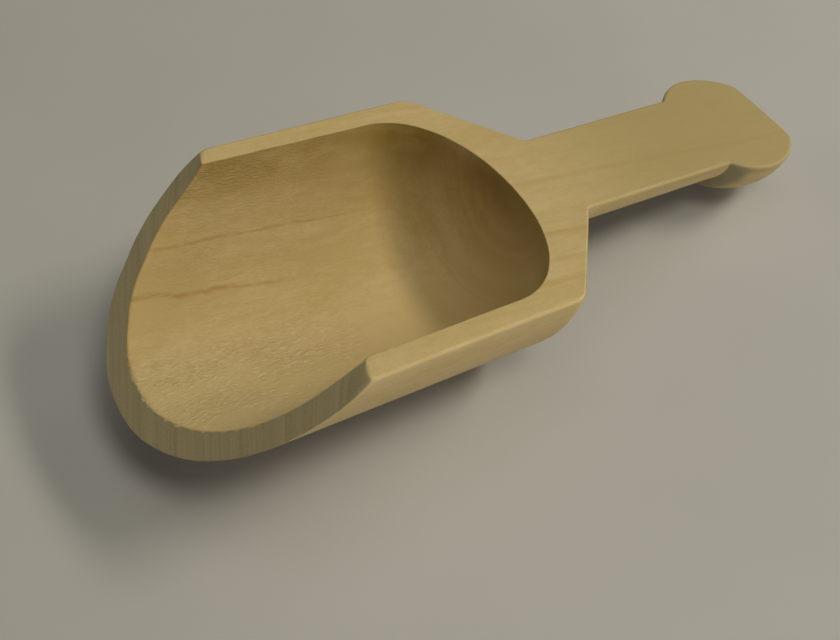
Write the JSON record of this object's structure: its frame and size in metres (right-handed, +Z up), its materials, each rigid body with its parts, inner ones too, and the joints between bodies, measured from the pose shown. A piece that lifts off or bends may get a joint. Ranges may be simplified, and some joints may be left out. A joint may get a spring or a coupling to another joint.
{
  "type": "wooden scoop",
  "caption": "Small half-round wooden scoop: a turned, bored blank split lengthways, with a slanted open lip, conical shoulder, short stem and rounded knob.",
  "frame": {"origin": "on the table, under the middle of the scoop's box as it rests", "axes": "+Z up, +X level and from the lip towards the knob; the flat top leans 12.1 degrees down towards the knob"},
  "size_m": [0.0778, 0.03, 0.0194],
  "materials": {
    "wood": "raw, fine-sanded pale hardwood with no varnish"
  },
  "bodies": {
    "root": {"bowl_trough": "wood", "bowl_end": "wood", "handle_stem": "wood", "handle_knob": "wood"}
  },
  "joints": []
}
